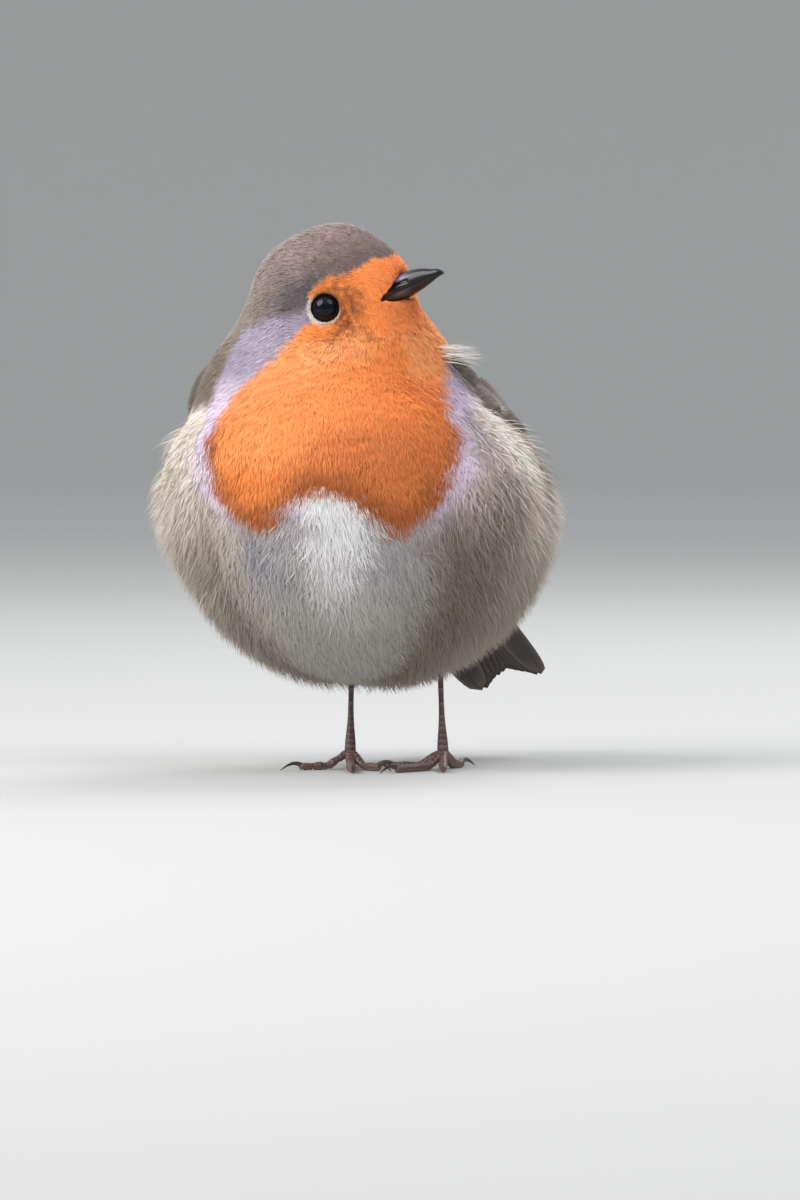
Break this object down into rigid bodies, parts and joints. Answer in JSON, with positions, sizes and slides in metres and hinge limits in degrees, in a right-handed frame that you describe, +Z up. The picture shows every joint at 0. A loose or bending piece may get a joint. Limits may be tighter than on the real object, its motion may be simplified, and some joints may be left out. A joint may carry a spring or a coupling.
{
  "type": "robin",
  "caption": "Life-size still model of a fluffed-up European robin that stands on bare feet with its head turned to one side.",
  "frame": {"origin": "on the floor under the middle of the bird's bounding box; the soles of the toes lie at z = 0", "axes": "+Z up, -Y the way the breast faces, +X to the bird's own left, which is the side its head is turned to"},
  "size_m": [0.0746, 0.097, 0.1039],
  "materials": {
    "orange_plumage": "soft matte feathers",
    "grey_plumage": "soft matte feathers",
    "brown_plumage": "smooth matte flight feathers",
    "tail_plumage": "smooth matte flight feathers",
    "horn": "dark semi-gloss horn",
    "eye": "wet black gloss",
    "leg_skin": "scaled, satin"
  },
  "bodies": {
    "root": {"head": "orange_plumage", "neck": "grey_plumage", "trunk": "grey_plumage", "tail": "tail_plumage", "bill_upper": "horn", "bill_lower": "horn", "wing_left": "brown_plumage", "wing_right": "brown_plumage", "eye_left": "eye", "eye_right": "eye", "shank_left": "leg_skin", "shank_right": "leg_skin", "toe_left_middle": "leg_skin", "claw_left_middle": "horn", "toe_left_inner": "leg_skin", "claw_left_inner": "horn", "toe_left_outer": "leg_skin", "claw_left_outer": "horn", "toe_left_hind": "leg_skin", "claw_left_hind": "horn", "toe_right_middle": "leg_skin", "claw_right_middle": "horn", "toe_right_inner": "leg_skin", "claw_right_inner": "horn", "toe_right_outer": "leg_skin", "claw_right_outer": "horn", "toe_right_hind": "leg_skin", "claw_right_hind": "horn"}
  },
  "joints": []
}
